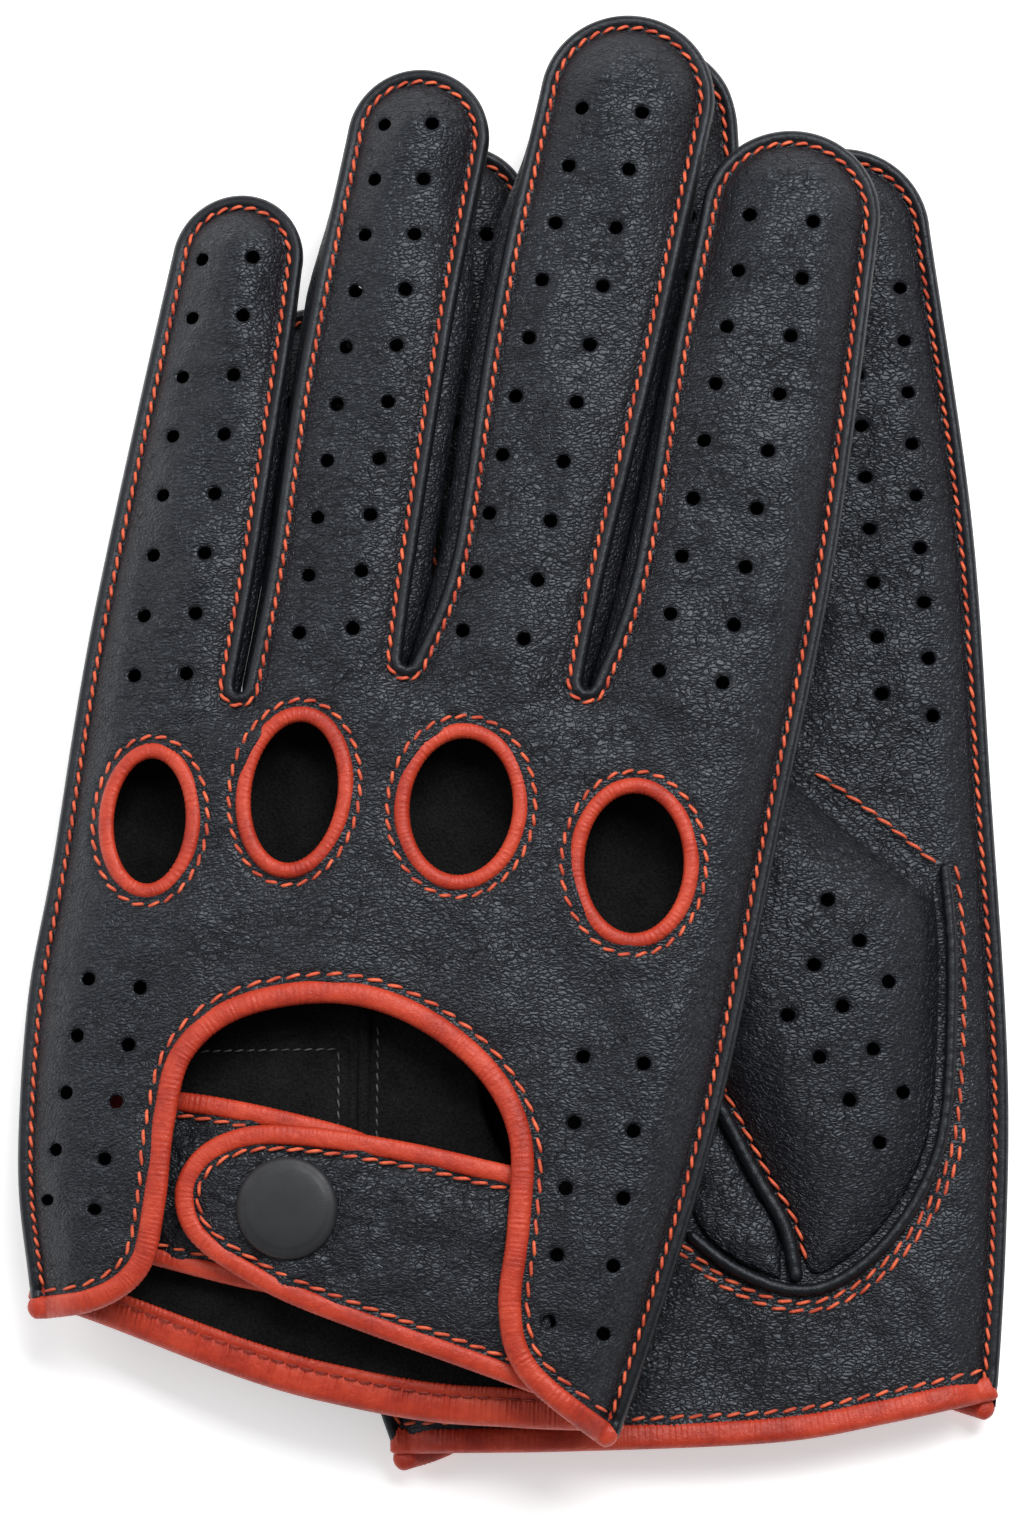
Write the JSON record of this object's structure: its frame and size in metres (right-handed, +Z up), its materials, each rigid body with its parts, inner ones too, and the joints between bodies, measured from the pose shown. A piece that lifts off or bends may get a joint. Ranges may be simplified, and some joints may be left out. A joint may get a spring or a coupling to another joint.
{
  "type": "leather driving gloves",
  "caption": "Pair of perforated black leather driving gloves with open knuckles, half-moon wrist openings, snap straps and red-orange bindings, lying fanned one on the other.",
  "frame": {"origin": "middle of the pair's footprint, on the surface that the lower glove lies on", "axes": "+Z up, out of the table; +Y towards the fingertips; +X towards the thumb side of both gloves"},
  "size_m": [0.151, 0.2228, 0.0348],
  "materials": {
    "leather": "satin, fine pebbled grain",
    "leather_piping": "satin, smooth",
    "red_binding": "satin",
    "suede_lining": "matt suede",
    "snap_black": "matt",
    "snap_metal": "satin gunmetal"
  },
  "bodies": {
    "right_glove": {"right_back_panel": "leather", "right_palm_panel": "leather", "right_fourchette_index_middle": "leather", "right_fourchette_middle_ring": "leather", "right_fourchette_ring_pinky": "leather", "right_thumb_front": "leather", "right_thumb_back": "leather", "right_thumb_gusset": "leather", "right_thumb_welt": "leather_piping", "right_gusset_welt": "leather_piping", "right_cuff_binding": "red_binding", "right_palm_hem_binding": "red_binding", "right_knuckle_ring_index": "red_binding", "right_knuckle_ring_middle": "red_binding", "right_knuckle_ring_ring": "red_binding", "right_knuckle_ring_pinky": "red_binding", "right_inner_patch": "suede_lining"},
    "right_strap": {"right_overlap_tab": "leather", "right_overlap_binding": "red_binding", "right_snap_cap": "snap_black", "right_snap_socket": "snap_metal"},
    "right_underlap": {"right_underlap_tab": "leather", "right_underlap_binding": "red_binding", "right_snap_stud": "snap_metal", "right_snap_post": "snap_metal"},
    "left_glove": {"left_back_panel": "leather", "left_palm_panel": "leather", "left_fourchette_index_middle": "leather", "left_fourchette_middle_ring": "leather", "left_fourchette_ring_pinky": "leather", "left_thumb_front": "leather", "left_thumb_back": "leather", "left_thumb_gusset": "leather", "left_thumb_welt": "leather_piping", "left_gusset_welt": "leather_piping", "left_cuff_binding": "red_binding", "left_palm_hem_binding": "red_binding", "left_knuckle_ring_index": "red_binding", "left_knuckle_ring_middle": "red_binding", "left_knuckle_ring_ring": "red_binding", "left_knuckle_ring_pinky": "red_binding", "left_inner_patch": "suede_lining"},
    "left_strap": {"left_overlap_tab": "leather", "left_overlap_binding": "red_binding", "left_snap_cap": "snap_black", "left_snap_socket": "snap_metal"},
    "left_underlap": {"left_underlap_tab": "leather", "left_underlap_binding": "red_binding", "left_snap_stud": "snap_metal", "left_snap_post": "snap_metal"}
  },
  "joints": [
    {"name": "left_glove_lift", "type": "slide", "parent": "right_glove", "child": "left_glove", "axis": [0, 0, 1], "range_m": [0, 0.12]},
    {"name": "left_strap_hinge", "type": "hinge", "parent": "left_glove", "child": "left_strap", "pos_m": [-0.00709, -0.09625, 0.03035], "axis": [0.1842, 0.977, 0.1072], "range_deg": [0, 150]},
    {"name": "left_underlap_hinge", "type": "hinge", "parent": "left_glove", "child": "left_underlap", "pos_m": [-0.05499, -0.08185, 0.02086], "axis": [-0.185, -0.9781, -0.0954], "range_deg": [0, 45]},
    {"name": "right_strap_hinge", "type": "hinge", "parent": "right_glove", "child": "right_strap", "pos_m": [0.04913, -0.0972, -0.0003], "axis": [0.0732, -0.9973, 0], "range_deg": [0, 150]},
    {"name": "right_underlap_hinge", "type": "hinge", "parent": "right_glove", "child": "right_underlap", "pos_m": [-0.0013, -0.09589, 0.0051], "axis": [-0.0732, 0.9973, 0], "range_deg": [0, 45]}
  ],
  "couplings": [
    {"joint": "left_underlap_hinge", "follows": "left_strap_hinge", "ratio": 0.3},
    {"joint": "right_underlap_hinge", "follows": "right_strap_hinge", "ratio": 0.3}
  ]
}
